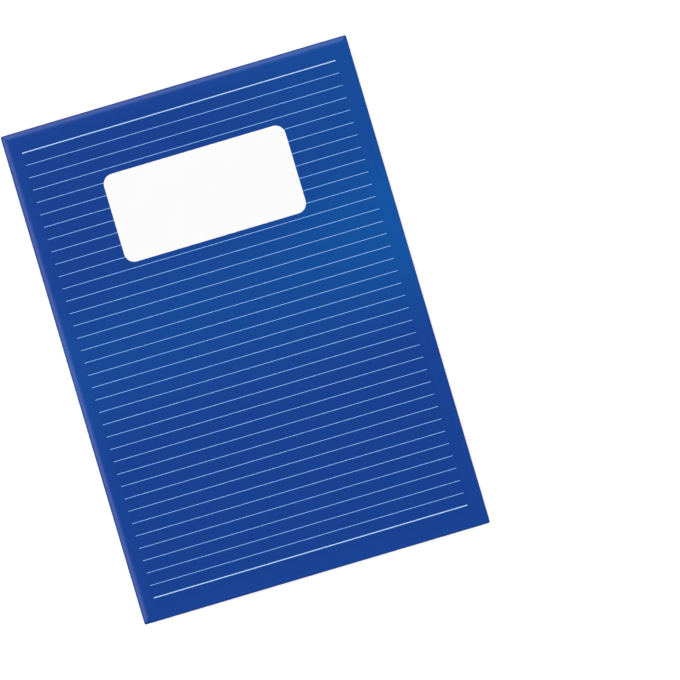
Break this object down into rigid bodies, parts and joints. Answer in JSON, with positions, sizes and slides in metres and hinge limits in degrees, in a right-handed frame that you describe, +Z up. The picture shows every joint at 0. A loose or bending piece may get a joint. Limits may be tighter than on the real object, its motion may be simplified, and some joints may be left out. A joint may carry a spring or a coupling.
{
  "type": "composition notebook",
  "caption": "Hard-cover composition notebook, case-bound, with a sewn page block, wrapped boards that open at the spine, ruled print and a blank name panel.",
  "frame": {"origin": "middle of the back cover's outer face, on the surface that the closed notebook lies on", "axes": "+X from the spine towards the fore edge, +Y from the tail towards the head, +Z up through the front cover"},
  "size_m": [0.2144, 0.303, 0.0159],
  "materials": {
    "cover_paper": "blue printed sheet, satin laminate",
    "white_print": "white print under satin laminate",
    "page_paper": "uncoated",
    "endpaper": "uncoated",
    "greyboard": "raw",
    "kraft_paper": "raw",
    "mull": "open weave, glued",
    "band_tape": "woven",
    "linen_thread": "twisted"
  },
  "bodies": {
    "block": {"page_block": "page_paper", "sewing_thread": "linen_thread", "spine_mull": "mull", "kraft_lining": "kraft_paper", "head_band": "band_tape", "tail_band": "band_tape", "front_flyleaf": "endpaper", "back_flyleaf": "endpaper", "spine_board": "greyboard", "spine_sheet": "cover_paper"},
    "front_cover": {"front_board": "greyboard", "front_cover_sheet": "cover_paper", "front_pastedown": "endpaper", "cover_rules": "white_print", "name_panel": "white_print"},
    "back_cover": {"back_board": "greyboard", "back_cover_sheet": "cover_paper", "back_pastedown": "endpaper"}
  },
  "joints": [
    {"name": "front_cover_hinge", "type": "hinge", "parent": "block", "child": "front_cover", "pos_m": [-0.1073, 0, 0.0131], "axis": [0, -1, 0], "range_deg": [0, 179]},
    {"name": "back_cover_hinge", "type": "hinge", "parent": "block", "child": "back_cover", "pos_m": [-0.1073, 0, 0.0027], "axis": [0, 1, 0], "range_deg": [0, 179]}
  ]
}
